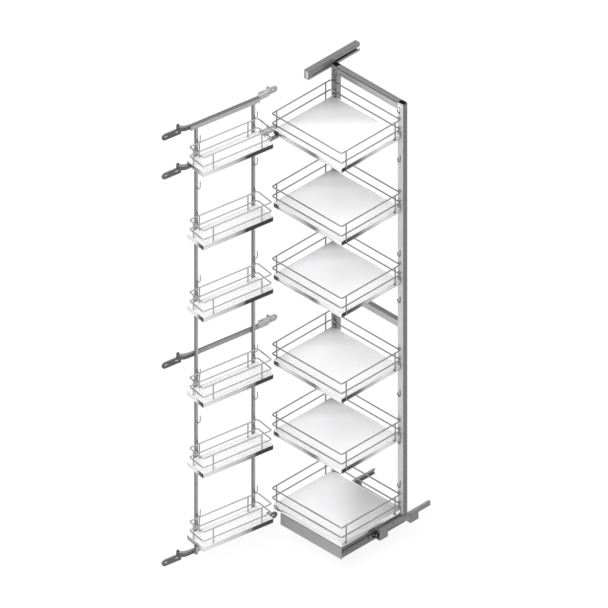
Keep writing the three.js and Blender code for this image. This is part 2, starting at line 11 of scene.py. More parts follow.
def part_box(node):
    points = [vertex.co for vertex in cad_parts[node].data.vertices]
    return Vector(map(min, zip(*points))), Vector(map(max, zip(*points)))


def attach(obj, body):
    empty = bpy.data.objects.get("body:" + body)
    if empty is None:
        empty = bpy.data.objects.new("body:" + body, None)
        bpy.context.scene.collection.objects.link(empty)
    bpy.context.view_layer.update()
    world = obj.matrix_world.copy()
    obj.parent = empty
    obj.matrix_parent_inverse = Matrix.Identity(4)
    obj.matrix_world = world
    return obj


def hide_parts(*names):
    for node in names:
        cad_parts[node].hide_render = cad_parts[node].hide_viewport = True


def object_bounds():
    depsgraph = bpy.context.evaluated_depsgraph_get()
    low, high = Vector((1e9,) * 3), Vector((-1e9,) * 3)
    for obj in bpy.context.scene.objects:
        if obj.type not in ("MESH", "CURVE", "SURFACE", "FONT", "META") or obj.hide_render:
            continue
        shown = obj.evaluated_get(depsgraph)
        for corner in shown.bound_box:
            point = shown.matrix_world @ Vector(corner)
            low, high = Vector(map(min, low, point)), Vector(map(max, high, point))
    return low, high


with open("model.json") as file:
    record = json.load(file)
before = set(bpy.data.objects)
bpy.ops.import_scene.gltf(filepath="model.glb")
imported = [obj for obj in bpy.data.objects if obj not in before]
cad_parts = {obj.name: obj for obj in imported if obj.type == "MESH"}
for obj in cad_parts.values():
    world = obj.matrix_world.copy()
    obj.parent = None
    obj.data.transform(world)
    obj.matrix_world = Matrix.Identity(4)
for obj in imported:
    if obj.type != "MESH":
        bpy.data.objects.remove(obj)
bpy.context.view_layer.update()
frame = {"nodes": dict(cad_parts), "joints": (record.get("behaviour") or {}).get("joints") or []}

MM = 0.001

# Camera: an isometric view
AZIMUTH = math.radians(45)
ELEVATION = math.atan(1 / math.sqrt(2))
CAMERA_DISTANCE = 6.0
VIEW_CENTRE = Vector((-0.114, -0.044, 0.860))
VIEW_WIDTH = 2.0267

# Wire rails
WIRE_RADIUS = 2.5 * MM
WIRE_BEND = 6 * MM
WIRE_SIDES = 12
FINE_SIDES = 8
BEND_STEPS = 6

# Trays: a drop is how far the board lies below the rim of its bright edge
TRAY_CORNER = 3 * MM
EDGE_WIDTH = 2.2 * MM
EDGE_ROUND = 0.9 * MM
TRAY_DROP = 1.0 * MM
SHELF_DROP = 0.3 * MM
BOARD_OVERLAP = 0.05 * MM

TUBE_BEVEL = 1.6 * MM
SHARP_EDGE = math.radians(35)

# Surface detail: noise scales are in features per metre
COAT_MOTTLE = 45
COAT_GRAIN = 1400
METAL_HAZE = 60
ZINC_MOTTLE = 120
ZINC_STREAK = 900
LAMINATE_GRAIN = 260
PLASTIC_GRAIN = 2200
BUMP_HEIGHT = 0.2 * MM
WHITE = 0.95
# Painted highlight on the top of the bright trims
RIM_HIGHLIGHT = 0.9

door_joint = next(j for j in frame["joints"] if j["name"] == "door_swing")
DOOR = Matrix.Translation(Vector(door_joint["pos_m"])) @ Matrix.Rotation(
    -math.radians(door_joint["range_deg"][1]), 4, "Z"
)
IDENTITY = Matrix.Identity(4)


# ---------------------------------------------------------------- materials


def shader(name, color, roughness, metallic=0.0):
    """A new material with its node tree and its shader."""
    material = bpy.data.materials.new(name)
    material.use_nodes = True
    bsdf = material.node_tree.nodes["Principled BSDF"]
    bsdf.inputs["Base Color"].default_value = (*color, 1)
    bsdf.inputs["Roughness"].default_value = roughness
    bsdf.inputs["Metallic"].default_value = metallic
    return material, material.node_tree, bsdf


def object_noise(tree, scale, detail, stretch=(1, 1, 1)):
    """Noise in the object's own coordinates, which are metres in the shared frame."""
    coordinates = tree.nodes.new("ShaderNodeTexCoord")
    mapping = tree.nodes.new("ShaderNodeMapping")
    mapping.inputs["Scale"].default_value = stretch
    noise = tree.nodes.new("ShaderNodeTexNoise")
    noise.inputs["Scale"].default_value = scale
    noise.inputs["Detail"].default_value = detail
    tree.links.new(coordinates.outputs["Object"], mapping.inputs["Vector"])
    tree.links.new(mapping.outputs["Vector"], noise.inputs["Vector"])
    return noise.outputs["Fac"]


def vary_color(tree, bsdf, value, low, high):
    """Colour that runs from low to high over the middle of the value's range."""
    ramp = tree.nodes.new("ShaderNodeValToRGB")
    ramp.color_ramp.elements[0].position = 0.3
    ramp.color_ramp.elements[1].position = 0.7
    ramp.color_ramp.elements[0].color = (*low, 1)
    ramp.color_ramp.elements[1].color = (*high, 1)
    tree.links.new(value, ramp.inputs["Fac"])
    tree.links.new(ramp.outputs["Color"], bsdf.inputs["Base Color"])


def scaled(tree, value, low, high):
    """The value, 0 to 1, stretched over low to high."""
    span = tree.nodes.new("ShaderNodeMapRange")
    span.inputs["To Min"].default_value = low
    span.inputs["To Max"].default_value = high
    tree.links.new(value, span.inputs["Value"])
    return span.outputs["Result"]


def vary_roughness(tree, bsdf, value, low, high):
    tree.links.new(scaled(tree, value, low, high), bsdf.inputs["Roughness"])


def add_bump(tree, bsdf, value, strength):
    bump = tree.nodes.new("ShaderNodeBump")
    bump.inputs["Strength"].default_value = strength
    bump.inputs["Distance"].default_value = BUMP_HEIGHT
    tree.links.new(value, bump.inputs["Height"])
    tree.links.new(bump.outputs["Normal"], bsdf.inputs["Normal"])


def grey(value):
    """A grey with a trace of blue."""
    return (value, value, value * 1.01)


def dot(tree, vector, direction):
    """Dot product of a vector socket and a constant."""
    product = tree.nodes.new("ShaderNodeVectorMath")
    product.operation = "DOT_PRODUCT"
    tree.links.new(vector, product.inputs[0])
    product.inputs[1].default_value = direction
    return product.outputs["Value"]


def painted_face_shade(tree, direction):
    """Painted shade by which way a face looks: the sum of the squares of the rest normal's parts,
    weighted by direction.
    """
    coordinates = tree.nodes.new("ShaderNodeTexCoord")
    square = tree.nodes.new("ShaderNodeVectorMath")
    square.operation = "MULTIPLY"
    tree.links.new(coordinates.outputs["Normal"], square.inputs[0])
    tree.links.new(coordinates.outputs["Normal"], square.inputs[1])
    return dot(tree, square.outputs["Vector"], direction)


def times(tree, first, second):
    product = tree.nodes.new("ShaderNodeMath")
    product.operation = "MULTIPLY"
    tree.links.new(first, product.inputs[0])
    tree.links.new(second, product.inputs[1])
    return product.outputs["Value"]


def finish_coat(tree, bsdf, tone, spread):
    """Gives a coat its tone, mottled by spread either way, and a fine grain."""
    mottle = scaled(tree, object_noise(tree, COAT_MOTTLE, 4), 1 - spread, 1 + spread)
    tree.links.new(times(tree, tone, mottle), bsdf.inputs["Base Color"])
    add_bump(tree, bsdf, object_noise(tree, COAT_GRAIN, 2), 0.12)


def satin_coat(name, face_shades, roughness=0.42, metallic=0.15):
    """Satin coat over rolled steel, with a painted shade on the faces along each axis."""
    material, tree, bsdf = shader(name, grey(0.5), roughness, metallic)
    finish_coat(tree, bsdf, painted_face_shade(tree, face_shades), 0.07)
    return material


def along(tree, start, end, stops):
    """Grey ramp of painted shade and reflection through stops of place and tone, from start to end in
    the shared frame at rest.
    """
    start, end = Vector(start), Vector(end)
    step = (end - start) / (end - start).length_squared
    coordinates = tree.nodes.new("ShaderNodeTexCoord")
    place = dot(tree, coordinates.outputs["Object"], step)
    shift = tree.nodes.new("ShaderNodeMath")
    shift.operation = "SUBTRACT"
    shift.inputs[1].default_value = start.dot(step)
    tree.links.new(place, shift.inputs[0])
    ramp = tree.nodes.new("ShaderNodeValToRGB")
    ramp.color_ramp.interpolation = "EASE"
    marks = ramp.color_ramp.elements
    while len(marks) < len(stops):
        marks.new(0.5)
    for mark, (position, tone) in zip(marks, stops):
        mark.position = position
        mark.color = (*grey(tone), 1)
    tree.links.new(shift.outputs["Value"], ramp.inputs["Fac"])
    return ramp.outputs["Color"]


def blend(tree, factor, first, second):
    """Mix of two colours: the first at 0, the second at 1."""
    mix = tree.nodes.new("ShaderNodeMix")
    mix.data_type = "RGBA"
    tree.links.new(factor, mix.inputs["Factor"])
    colors = {socket.name: socket for socket in mix.inputs if socket.type == "RGBA"}
    tree.links.new(first, colors["A"])
    tree.links.new(second, colors["B"])
    return next(o for o in mix.outputs if o.type == "RGBA")


def graded_coat(name, face_shades, start, end, stops):
    """Satin coat with painted face shades and a painted shade that also changes from start to end in
    the shared frame at rest.
    """
    material, tree, bsdf = shader(name, grey(0.5), 0.42, 0.15)
    tone = times(tree, painted_face_shade(tree, face_shades), along(tree, start, end, stops))
    finish_coat(tree, bsdf, tone, 0.05)
    return material


def inset_cap(name, face_shades):
    """Black plastic insert whose sides are the wall of the tube that it closes, with that wall's
    painted face shade on them.
    """
    material = satin_coat(name, face_shades, 0.5, 0.0)
    bsdf = material.node_tree.nodes["Principled BSDF"]
    bsdf.inputs["Specular IOR Level"].default_value = 0.05
    return material


def between(tree, value, low, high):
    """1 where the value lies between low and high, else 0."""
    compare = tree.nodes.new("ShaderNodeMath")
    compare.operation = "COMPARE"
    tree.links.new(value, compare.inputs[0])
    compare.inputs[1].default_value = (low + high) / 2
    compare.inputs[2].default_value = (high - low) / 2
    return compare.outputs["Value"]


def hollow_coat(name, face_shades, low, high, wall):
    """Satin coat for a hollow section along Y, with painted face shades and a painted shade that
    makes it nearly black inside its walls.
    """
    material, tree, bsdf = shader(name, grey(0.5), 0.4, 0.15)
    coordinates = tree.nodes.new("ShaderNodeTexCoord")
    parts = tree.nodes.new("ShaderNodeSeparateXYZ")
    tree.links.new(coordinates.outputs["Object"], parts.inputs[0])
    across = between(tree, parts.outputs["X"], low.x + wall, high.x - wall)
    upward = between(tree, parts.outputs["Z"], low.z + wall, high.z - wall)
    inward = between(tree, parts.outputs["Y"], low.y + wall, high.y)
    hollow = times(tree, times(tree, across, upward), inward)
    shade = scaled(tree, hollow, 1.0, 0.02)
    finish_coat(tree, bsdf, times(tree, painted_face_shade(tree, face_shades), shade), 0.07)
    return material


def edge_trim(name, across, across_stops, deep, deep_stops):
    """Bright trim with painted reflections: a ramp of greys on its ends, one on its sides, and a pale
    painted highlight on its rim.
    """
    material, tree, bsdf = shader(name, grey(0.6), 0.16, 1.0)
    ends = along(tree, *across, across_stops)
    sides = along(tree, *deep, deep_stops)
    rim = tree.nodes.new("ShaderNodeRGB").outputs["Color"]
    rim.default_value = (*grey(RIM_HIGHLIGHT), 1)
    around = blend(tree, painted_face_shade(tree, (1, 0, 0)), ends, sides)
    tree.links.new(blend(tree, painted_face_shade(tree, (0, 0, 1)), around, rim), bsdf.inputs["Base Color"])
    vary_roughness(tree, bsdf, object_noise(tree, METAL_HAZE, 3), 0.12, 0.22)
    return material


def polished_chrome(name, face_shades):
    """Chrome that mirrors a dim room, with a painted shade on the faces along each axis."""
    material, tree, bsdf = shader(name, grey(0.4), 0.12, 1.0)
    tree.links.new(painted_face_shade(tree, face_shades), bsdf.inputs["Base Color"])
    vary_roughness(tree, bsdf, object_noise(tree, METAL_HAZE, 3), 0.08, 0.18)
    return material


def zinc_plate(name, value):
    """Bright zinc: fine streaks along the rolling direction and a little mottle."""
    material, tree, bsdf = shader(name, grey(value), 0.35, 0.75)
    mottle = object_noise(tree, ZINC_MOTTLE, 5)
    vary_color(tree, bsdf, mottle, grey(value * 0.88), grey(value * 1.1))
    streak = object_noise(tree, ZINC_STREAK, 2, (1, 0.05, 1))
    vary_roughness(tree, bsdf, streak, 0.28, 0.46)
    add_bump(tree, bsdf, streak, 0.1)
    return material


def white_laminate(name, lit_corner, shaded_corner, stops):
    """White laminate, with painted shade that greys it towards one corner of the tray."""
    material, tree, bsdf = shader(name, grey(0.9), 0.3)
    tree.links.new(along(tree, lit_corner, shaded_corner, stops), bsdf.inputs["Base Color"])
    grain = object_noise(tree, LAMINATE_GRAIN, 3)
    add_bump(tree, bsdf, grain, 0.03)
    vary_roughness(tree, bsdf, grain, 0.26, 0.36)
    return material


def moulded_plastic(name, value):
    """Dull plastic with a fine moulded grain."""
    material, tree, bsdf = shader(name, grey(value), 0.5)
    bsdf.inputs["Specular IOR Level"].default_value = 0.12
    grain = object_noise(tree, PLASTIC_GRAIN, 2)
    add_bump(tree, bsdf, grain, 0.2)
    vary_roughness(tree, bsdf, grain, 0.42, 0.6)
    return material


# A coat's face shades are the painted shade of its faces along X, Y and Z
# The two uprights are one paint; their different face shades are painted light and shade
RIGHT_UPRIGHT = satin_coat("right_upright_coat", (0.17, 0.62, 0.25))
LEFT_UPRIGHT = satin_coat("left_upright_coat", (0.34, 0.18, 0.3))
BAR_COAT = satin_coat("bar_coat", (0.4, 0.5, 0.17))
# Painted shade: the top bar grows lighter from left to right
TOP_BAR_COAT = graded_coat(
    "top_bar_coat",
    (0.6, 1.0, 0.4),
    (-0.144, 0, 0),
    (0.144, 0, 0),
    [(0.15, 0.23), (0.54, 0.38), (1.0, 0.46)],
)
TOP_BAR_COVER = satin_coat("top_bar_cover_coat", (0.3, 0.24, 0.18))
GUIDE_WALL = 1.9 * MM
GUIDE_COAT = hollow_coat("guide_coat", (0.25, 0.3, 0.17), *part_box("top_guide_rail"), GUIDE_WALL)
DOOR_UPRIGHT_COAT = satin_coat("door_upright_coat", (0.46, 0.13, 0.3), 0.4)
TOP_CROSSBAR_COAT = satin_coat("top_crossbar_coat", (0.5, 0.16, 0.13))
CROSSBAR_COAT = satin_coat("crossbar_coat", (0.36, 0.14, 0.12))
# Painted shade: the link crossbar grows lighter along its length
LINK_CROSSBAR_COAT = graded_coat(
    "link_crossbar_coat",
    (0.9, 0.6, 0.9),
    DOOR @ Vector((0.367, 0.017, 0)),
    DOOR @ Vector((0.1, 0.017, 0)),
    [(0.0, 0.14), (0.25, 0.2), (0.6, 0.55), (1.0, 0.75)],
)
CARRIAGE_COAT = satin_coat("carriage_coat", (0.18, 0.3, 0.2), 0.5)
# One paint for the door plates: a lit copy for the upper hinge-side plates, a shaded one for the rest
FIXING_COAT = satin_coat("fixing_coat", (0.12, 0.1, 0.25), 0.38, 0.4)
LIT_FIXING_COAT = satin_coat("lit_fixing_coat", (0.5, 0.4, 0.45), 0.38, 0.3)
RUNNER_COAT = satin_coat("runner_zinc", (0.22, 0.25, 0.3), 0.4, 0.4)
LINK_COAT = satin_coat("link_coat", (0.35, 0.2, 0.14), 0.42, 0.3)
PALE_COAT = satin_coat("pale_coat", (0.8, 0.85, 0.7), 0.4)
END_CAP_HIGHLIGHT_COAT = satin_coat("end_cap_highlight_coat", (0.6, 0.6, 0.5), 0.4)
CHROME = polished_chrome("wire_chrome", (0.26, 0.24, 0.28))
SHELF_CHROME = polished_chrome("shelf_wire_chrome", (0.52, 0.24, 0.44))
ZINC = zinc_plate("zinc", 0.34)
DARK_ZINC = zinc_plate("dark_zinc", 0.14)
PLASTIC = moulded_plastic("black_plastic", 0.004)
CAPS = {
    "right": inset_cap("right_cap_plastic", (0.17, 0.62, 0.003)),
    "left": inset_cap("left_cap_plastic", (0.34, 0.18, 0.003)),
}

TRAY_RIGHT_FRONT = Vector((0.161, -0.142, 0))
TRAY_LEFT_FRONT = Vector((-0.161, -0.142, 0))
TRAY_LEFT_BACK = Vector((-0.161, 0.138, 0))
TRAY_RIGHT_BACK = Vector((0.161, 0.138, 0))
# Painted shade: each tray's board greys towards one back corner
TRAY_LAMINATE = white_laminate(
    "tray_laminate",
    TRAY_RIGHT_FRONT,
    TRAY_LEFT_BACK,
    [(0.68, WHITE), (0.84, 0.8), (1.0, 0.46)],
)
TOP_LAMINATE = white_laminate(
    "top_laminate",
    TRAY_RIGHT_FRONT,
    TRAY_LEFT_BACK,
    [(0.5, WHITE), (0.75, 0.66), (1.0, 0.4)],
)
LOWEST_LAMINATE = white_laminate(
    "lowest_laminate",
    TRAY_LEFT_FRONT,
    TRAY_RIGHT_BACK,
    [(0.0, WHITE), (0.45, WHITE), (0.75, 0.62), (1.0, 0.5)],
)
SHELF_LAMINATE = white_laminate(
    "shelf_laminate", TRAY_RIGHT_FRONT, TRAY_LEFT_BACK, [(0.0, WHITE), (1.0, WHITE)]
)
# The trims' ramps, here and below, are painted reflections: bands of dark and light along their ends
# and sides
TRAY_TRIM = edge_trim(
    "tray_trim",
    (TRAY_LEFT_FRONT, TRAY_RIGHT_FRONT),
    [(0.0, 0.1), (0.06, 0.12), (0.1, 0.8), (0.4, 0.5), (0.6, 0.25), (0.72, 0.85), (1.0, 0.95)],
    (TRAY_RIGHT_FRONT, TRAY_RIGHT_BACK),
    [(0.0, 0.02), (0.25, 0.1), (0.45, 0.45), (0.7, 0.68), (1.0, 0.5)],
)
LOWEST_TRIM = edge_trim(
    "lowest_tray_trim",
    (TRAY_LEFT_FRONT, TRAY_RIGHT_FRONT),
    [(0.0, 0.5), (0.12, 0.85), (0.5, 0.8), (1.0, 0.9)],
    (TRAY_RIGHT_FRONT, TRAY_RIGHT_BACK),
    [(0.0, 0.5), (0.6, 0.42), (0.75, 0.7), (1.0, 0.85)],
)
SHELF_END = (DOOR @ Vector((0.405, 0.04, 0)), DOOR @ Vector((0.405, 0.134, 0)))
SHELF_SIDE = (DOOR @ Vector((0.405, 0.134, 0)), DOOR @ Vector((0.115, 0.134, 0)))
# Painted reflections along the ends of the shelf trims
DARK_END = [(0.0, 0.7), (0.55, 0.8), (0.8, 0.1), (1.0, 0.01)]
GREY_END = [(0.0, 0.3), (0.6, 0.3), (1.0, 0.7)]


def shelf_trim(name, end_stops, dark_from):
    """Trim with a painted reflection: its long side is bright and turns dark at dark_from of its
    length.
    """
    side_stops = [
        (0.0, 0.75),
        (dark_from - 0.15, 0.55),
        (dark_from, 0.3),
        (dark_from + 0.07, 0.05),
    ]
    return edge_trim(name, SHELF_END, end_stops, SHELF_SIDE, side_stops)


HIGHEST_SHELF_TRIM = shelf_trim("highest_shelf_trim", GREY_END, 0.56)
UPPER_SHELF_TRIM = shelf_trim("upper_shelf_trim", DARK_END, 0.55)
LOWER_SHELF_TRIM = shelf_trim("lower_shelf_trim", DARK_END, 0.7)
LOWEST_SHELF_TRIM = shelf_trim("lowest_shelf_trim", GREY_END, 0.66)


# ---------------------------------------------------------------- mesh tools


def finish_mesh(name, bm, material, place=IDENTITY):
    """Turns a bmesh into an object at the origin, with smooth faces between its sharp edges."""
    bmesh.ops.remove_doubles(bm, verts=bm.verts, dist=1e-6)
    bmesh.ops.transform(bm, matrix=place, verts=bm.verts)
    bmesh.ops.recalc_face_normals(bm, faces=bm.faces)
    for face in bm.faces:
        face.smooth = True
    for edge in bm.edges:
        edge.smooth = edge.is_manifold and edge.calc_face_angle(0) < SHARP_EDGE
    mesh = bpy.data.meshes.new(name)
    bm.to_mesh(mesh)
    bm.free()
    mesh.materials.append(material)
    made = bpy.data.objects.new(name, mesh)
    bpy.context.scene.collection.objects.link(made)
    return made


def place_piece(made, body, slot, *nodes):
    """Puts a piece on its body and hides the CAD nodes that it replaces; the slot is not used."""
    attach(made, body)
    if nodes:
        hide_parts(*nodes)


def local_box(node, place):
    """Lowest and highest corner of a CAD node in the coordinates of place."""
    back = place.inverted()
    points = [back @ v.co for v in frame["nodes"][node].data.vertices]
    low = Vector([min(p[i] for p in points) for i in range(3)])
    high = Vector([max(p[i] for p in points) for i in range(3)])
    return low, high


def skin(bm, rings, closed=False):
    """Faces between rings of points, each to the next, with flat ends unless closed."""
    for here, there in zip(rings, rings[1:] + rings[:1] if closed else rings[1:]):
        count = len(here)
        for k in range(count):
            n = (k + 1) % count
            bm.faces.new((here[k], here[n], there[n], there[k]))
    if not closed:
        bm.faces.new(list(reversed(rings[0])))
        bm.faces.new(rings[-1])


def spokes_about(side, up, sides):
    """Unit vectors in equal turns from side towards up."""
    turns = [2 * math.pi * k / sides for k in range(sides)]
    return [side * math.cos(turn) + up * math.sin(turn) for turn in turns]


def add_box(bm, low, high, bevel, segments=2):
    """A box with rounded edges."""
    low, high = Vector(low), Vector(high)
    made = bmesh.ops.create_cube(bm, size=1.0)
    verts = made["verts"]
    bmesh.ops.scale(bm, vec=high - low, verts=verts)
    bmesh.ops.translate(bm, vec=(low + high) / 2, verts=verts)
    edges = list(dict.fromkeys(e for v in verts for e in v.link_edges))
    bmesh.ops.bevel(bm, geom=edges, offset=bevel, segments=segments, profile=0.5, affect="EDGES")


def add_tube(bm, points, radius, sides=WIRE_SIDES, closed=False):
    """A round wire along points, closed on itself or with flat ends."""
    points = [Vector(p) for p in points]
    count = len(points)

    def direction(i):
        before = points[i - 1] if closed or i > 0 else points[i]
        after = points[(i + 1) % count] if closed or i < count - 1 else points[i]
        return (after - before).normalized()

    previous = direction(0)
    side = previous.orthogonal().normalized()
    rings = []
    for i in range(count):
        heading = direction(i)
        side = previous.rotation_difference(heading) @ side
        side = (side - heading * side.dot(heading)).normalized()
        previous = heading
        spokes = spokes_about(side, heading.cross(side), sides)
        rings.append([bm.verts.new(points[i] + spoke * radius) for spoke in spokes])
    skin(bm, rings, closed)


def add_cylinder(bm, centre, axis, radius, length, sides, bevel=0.0):
    """A disc or pin about axis, with chamfered rims where bevel is given."""
    axis = Vector(axis).normalized()
    start = Vector(centre) - axis * length / 2
    stations = [(0, radius), (length, radius)]
    if bevel:
        stations = [(0, radius - bevel), (bevel, radius)]
        stations += [(length - bevel, radius), (length, radius - bevel)]
    side = axis.orthogonal().normalized()
    spokes = spokes_about(side, axis.cross(side), sides)
    rings = [[bm.verts.new(start + axis * d + spoke * r) for spoke in spokes] for d, r in stations]
    skin(bm, rings)


def rounded_outline(low, high, inset, radius):
    """A rectangle inset from low and high, with round corners, anticlockwise from +X +Y."""
    x0, x1 = low.x + inset, high.x - inset
    y0, y1 = low.y + inset, high.y - inset
    corners = [(x1, y1, 1, 1, 0), (x0, y1, -1, 1, 90), (x0, y0, -1, -1, 180), (x1, y0, 1, -1, 270)]
    points = []
    for x, y, x_side, y_side, start in corners:
        centre_x, centre_y = x - x_side * radius, y - y_side * radius
        for k in range(BEND_STEPS + 1):
            turn = math.radians(start + 90 * k / BEND_STEPS)
            points.append((centre_x + radius * math.cos(turn), centre_y + radius * math.sin(turn)))
    return points


# ---------------------------------------------------------------- trays


def board_and_edge(node, body, place, laminate, trim, drop):
    """White board, a little below the rim of the bright profile that runs round its edge."""
    low, high = local_box(node, place)
    chamfer = EDGE_ROUND * 0.3
    steps = [
        (EDGE_WIDTH, high.z - drop),
        (EDGE_WIDTH, high.z - drop / 3),
        (EDGE_WIDTH - drop / 3, high.z),
        (EDGE_ROUND, high.z),
        (chamfer, high.z - chamfer),
        (0, high.z - EDGE_ROUND),
        (0, low.z + EDGE_ROUND),
        (chamfer, low.z + chamfer),
        (EDGE_ROUND, low.z),
        (EDGE_WIDTH, low.z),
        (EDGE_WIDTH, low.z + drop),
    ]
    bm = bmesh.new()
    rings = []
    for inset, z in steps:
        outline = rounded_outline(low, high, inset, TRAY_CORNER - inset)
        rings.append([bm.verts.new((x, y, z)) for x, y in outline])
    skin(bm, rings, closed=True)
    edge = finish_mesh(node + "_edge", bm, trim, place)
    place_piece(edge, body, "chrome_wire", node)
    bm = bmesh.new()
    inset = EDGE_WIDTH - BOARD_OVERLAP
    outline = rounded_outline(low, high, inset, TRAY_CORNER - inset)
    faces = (low.z + drop, high.z - drop)
    skin(bm, [[bm.verts.new((x, y, z)) for x, y in outline] for z in faces])
    board = finish_mesh(node + "_board", bm, laminate, place)
    place_piece(board, body, "tray_board", node)


def wire_ring(bm, low, high, z):
    """A closed ring of wire whose outside fits between low and high."""
    outline = rounded_outline(low, high, WIRE_RADIUS, WIRE_BEND)
    add_tube(bm, [(x, y, z) for x, y in outline], WIRE_RADIUS, closed=True)


DEEP_RINGS = (26 * MM, 65 * MM)  # above the tray's top
DEEP_POSTS = (19 * MM, 250 * MM)  # behind the tray's front
POST_DOWN = 8 * MM
RING_BACK = 6 * MM
CLIP_WIDTH = 13 * MM
RING_CLIP_HEIGHT = 3 * MM
RING_CLIP_LAP = 2.2 * WIRE_RADIUS
RING_CLIP_BEVEL = 0.7 * MM
BOARD_CLIP_HEIGHT = 9 * MM
BOARD_CLIP_LAP = 6 * MM
BOARD_CLIP_BEVEL = 1.2 * MM


def deep_rail(i):
    """Two wire rings with posts down the board's sides, and the clips back to the uprights."""
    node = f"deep_tray_rail_{i}"
    tray_low, tray_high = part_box(f"deep_tray_{i}")
    low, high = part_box(node)
    top = tray_high.z
    low = Vector((low.x, low.y, 0))
    high = Vector((high.x, tray_high.y - RING_BACK + WIRE_RADIUS, 0))
    bm = bmesh.new()
    for ring in DEEP_RINGS:
        wire_ring(bm, low, high, top + ring)
    for x in (low.x + WIRE_RADIUS, high.x - WIRE_RADIUS):
        for post in DEEP_POSTS:
            y = tray_low.y + post
            add_tube(bm, [(x, y, top - POST_DOWN), (x, y, top + DEEP_RINGS[1])], WIRE_RADIUS)
    rail = finish_mesh(node + "_wire", bm, CHROME)
    place_piece(rail, "pull_out", "chrome_wire", node)
    bm = bmesh.new()
    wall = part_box("frame_upright_right")[0].y
    outer = high.x - WIRE_BEND
    for side in (-1, 1):
        x0, x1 = sorted((side * outer, side * (outer - CLIP_WIDTH)))
        for ring in DEEP_RINGS:
            z0 = top + ring - RING_CLIP_HEIGHT / 2
            z1 = top + ring + RING_CLIP_HEIGHT / 2
            add_box(bm, (x0, high.y - RING_CLIP_LAP, z0), (x1, wall, z1), RING_CLIP_BEVEL)
        clip_low = (x0, tray_high.y - BOARD_CLIP_LAP, top)
        add_box(bm, clip_low, (x1, wall, top + BOARD_CLIP_HEIGHT), BOARD_CLIP_BEVEL)
    clips = finish_mesh(f"deep_tray_clips_{i}", bm, ZINC)
    place_piece(clips, "pull_out", "zinc_steel", node)


DOOR_UPRIGHTS = ("hinge_side", "free_side")
SHELF_RINGS = (23 * MM, 60 * MM)  # above the shelf's top
SHELF_POSTS = (46 * MM, 246 * MM)  # from the shelf's end near the hinges
SHELF_END_POST = 35 * MM
SHELF_RING_NEAR = 6 * MM
SHELF_RING_BACK = 12 * MM
SHELF_RING_INSET = 3 * MM
TAB_WIRE = 1.6 * MM
TAB_RISE = 9 * MM
TAB_OUT = 3 * MM
TAB_BELOW = 1 * MM


def shelf_rail(i):
    """Two wire rings with posts on a door shelf, and tabs back to the door frame's uprights."""
    node = f"door_shelf_rail_{i}"
    low, high = local_box(f"door_shelf_{i}", DOOR)
    top = high.z
    x0, x1 = low.x + SHELF_RING_NEAR, high.x - SHELF_RING_INSET
    y0, y1 = low.y + SHELF_RING_BACK, high.y - SHELF_RING_INSET
    r = WIRE_RADIUS
    bm = bmesh.new()
    for ring in SHELF_RINGS:
        wire_ring(bm, Vector((x0 - r, y0 - r, 0)), Vector((x1 + r, y1 + r, 0)), top + ring)
    posts = [(low.x + d, y) for d in SHELF_POSTS for y in (y0, y1)]
    posts.append((x1, low.y + SHELF_END_POST))
    for x, y in posts:
        add_tube(bm, [(x, y, top - SHELF_DROP), (x, y, top + SHELF_RINGS[1])], r)
    rail = finish_mesh(node + "_wire", bm, SHELF_CHROME, DOOR)
    place_piece(rail, "door_frame", "chrome_wire", node)
    bm = bmesh.new()
    for name in DOOR_UPRIGHTS:
        upright_low, upright_high = local_box(f"door_upright_{name}", DOOR)
        middle = (upright_low.x + upright_high.x) / 2
        face = upright_high.y
        reach = max(middle, x0 + WIRE_BEND)
        for ring in SHELF_RINGS:
            z = top + ring
            points = [(middle, face, z + TAB_RISE), (middle, face + TAB_OUT, z)]
            points += [(reach, y0 - r, z - TAB_BELOW), (reach, y0, z - TAB_BELOW)]
            add_tube(bm, points, TAB_WIRE, FINE_SIDES)
    clips = finish_mesh(f"door_shelf_clips_{i}", bm, DARK_ZINC, DOOR)
    place_piece(clips, "door_frame", "zinc_steel", node)


# ---------------------------------------------------------------- bars, uprights and CAD nodes


def bevelled(node, body, slot, material, bevel=TUBE_BEVEL, place=IDENTITY):
    """A straight member with rolled edges, of the CAD node's own size."""
    low, high = local_box(node, place)
    bm = bmesh.new()
    add_box(bm, low, high, bevel, 3)
    place_piece(finish_mesh(node + "_tube", bm, material, place), body, slot, node)


def dress(node, material, bevel):
    """Gives a CAD node, which keeps its shape, its finish and rounded edges."""
    made = frame["nodes"][node]
    made.data.materials.clear()
    made.data.materials.append(material)
    rounding = made.modifiers.new("rounding", "BEVEL")
    rounding.width = bevel
    rounding.segments = 2
    rounding.limit_method = "ANGLE"
    rounding.angle_limit = math.radians(40)


GROOVE_DROP = 3.2 * MM
GROOVE_HEIGHT = 3.6 * MM
GROOVE_DEPTH = 1.5 * MM
BAND_BEVEL = 0.5 * MM
CORE_BEVEL = 0.3 * MM


def grooved_top_bar():
    """The top bar in two bands, with a groove between them along its front and back whose black core
    is painted shade.
    """
    low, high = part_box("frame_top_bar")
    groove_top = high.z - GROOVE_DROP
    groove_low = groove_top - GROOVE_HEIGHT
    inset = Vector((0, GROOVE_DEPTH, 0))
    bands = {
        "cover": (Vector((low.x, low.y, groove_top)), high, TOP_BAR_COVER),
        "body": (low, Vector((high.x, high.y, groove_low)), TOP_BAR_COAT),
    }
    for name, (start, end, material) in bands.items():
        bm = bmesh.new()
        add_box(bm, start, end, BAND_BEVEL)
        band = finish_mesh(f"frame_top_bar_{name}", bm, material)
        place_piece(band, "pull_out", "frame_paint", "frame_top_bar")
    # Painted shade: a black core stands for the shade down in the groove
    bm = bmesh.new()
    start = Vector((low.x, low.y, groove_low - GROOVE_DROP / 2)) + inset
    end = Vector((high.x, high.y, groove_top + GROOVE_DROP / 2)) - inset
    add_box(bm, start, end, CORE_BEVEL)
    core = finish_mesh("frame_top_bar_groove", bm, PLASTIC)
    place_piece(core, "pull_out", "frame_paint", "frame_top_bar")


